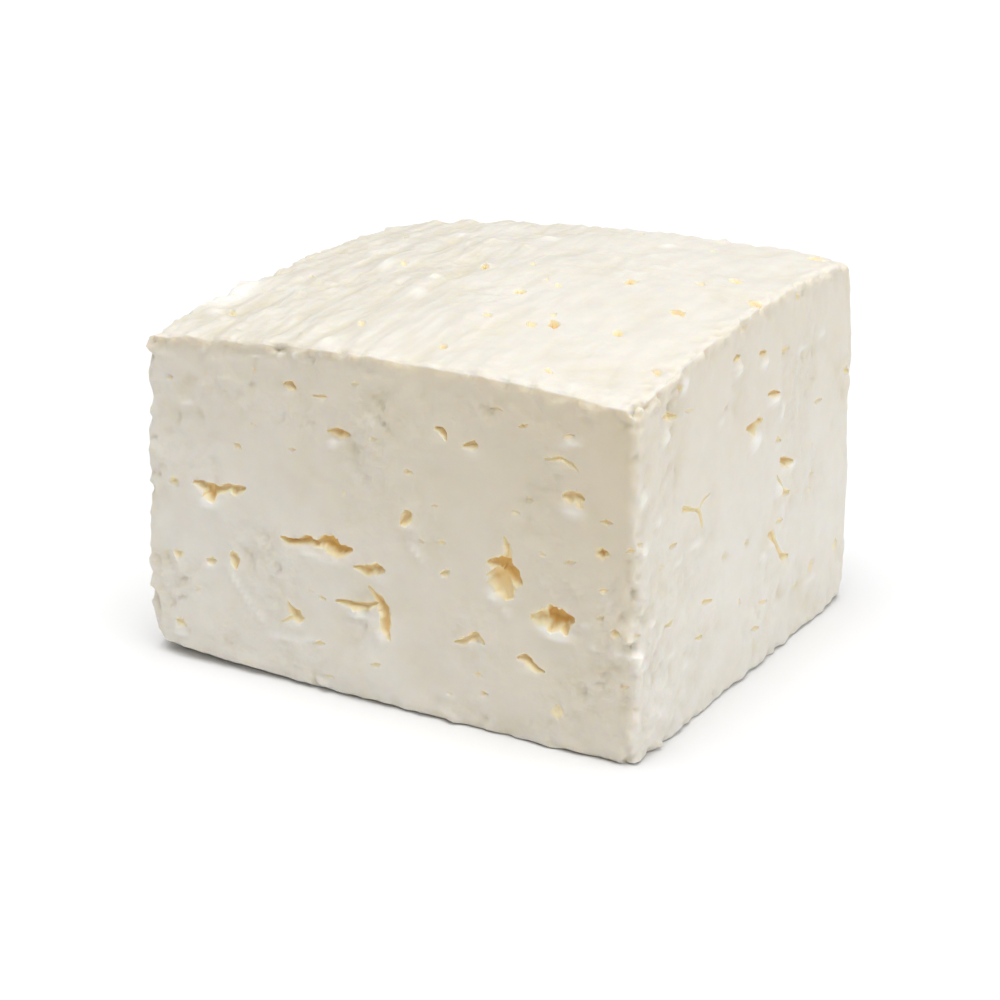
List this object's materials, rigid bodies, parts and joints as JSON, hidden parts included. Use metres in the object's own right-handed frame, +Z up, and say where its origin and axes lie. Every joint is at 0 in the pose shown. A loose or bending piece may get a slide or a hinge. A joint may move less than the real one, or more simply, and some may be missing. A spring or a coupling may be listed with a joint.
{
  "type": "queso blanco block",
  "caption": "Block of fresh white cheese with cut sides, soft edges, a slightly crowned leaning top and small curd openings.",
  "frame": {"origin": "middle of the flat underside, at the height of the surface that the block rests on", "axes": "+X along the wide front face, +Y from the front face to the back, +Z up"},
  "size_m": [0.0968, 0.085, 0.0661],
  "materials": {
    "fresh_cheese": "moist matt, slightly translucent warm white, amber-tinted inside its openings"
  },
  "bodies": {
    "root": {"cheese_block": "fresh_cheese"}
  },
  "joints": []
}
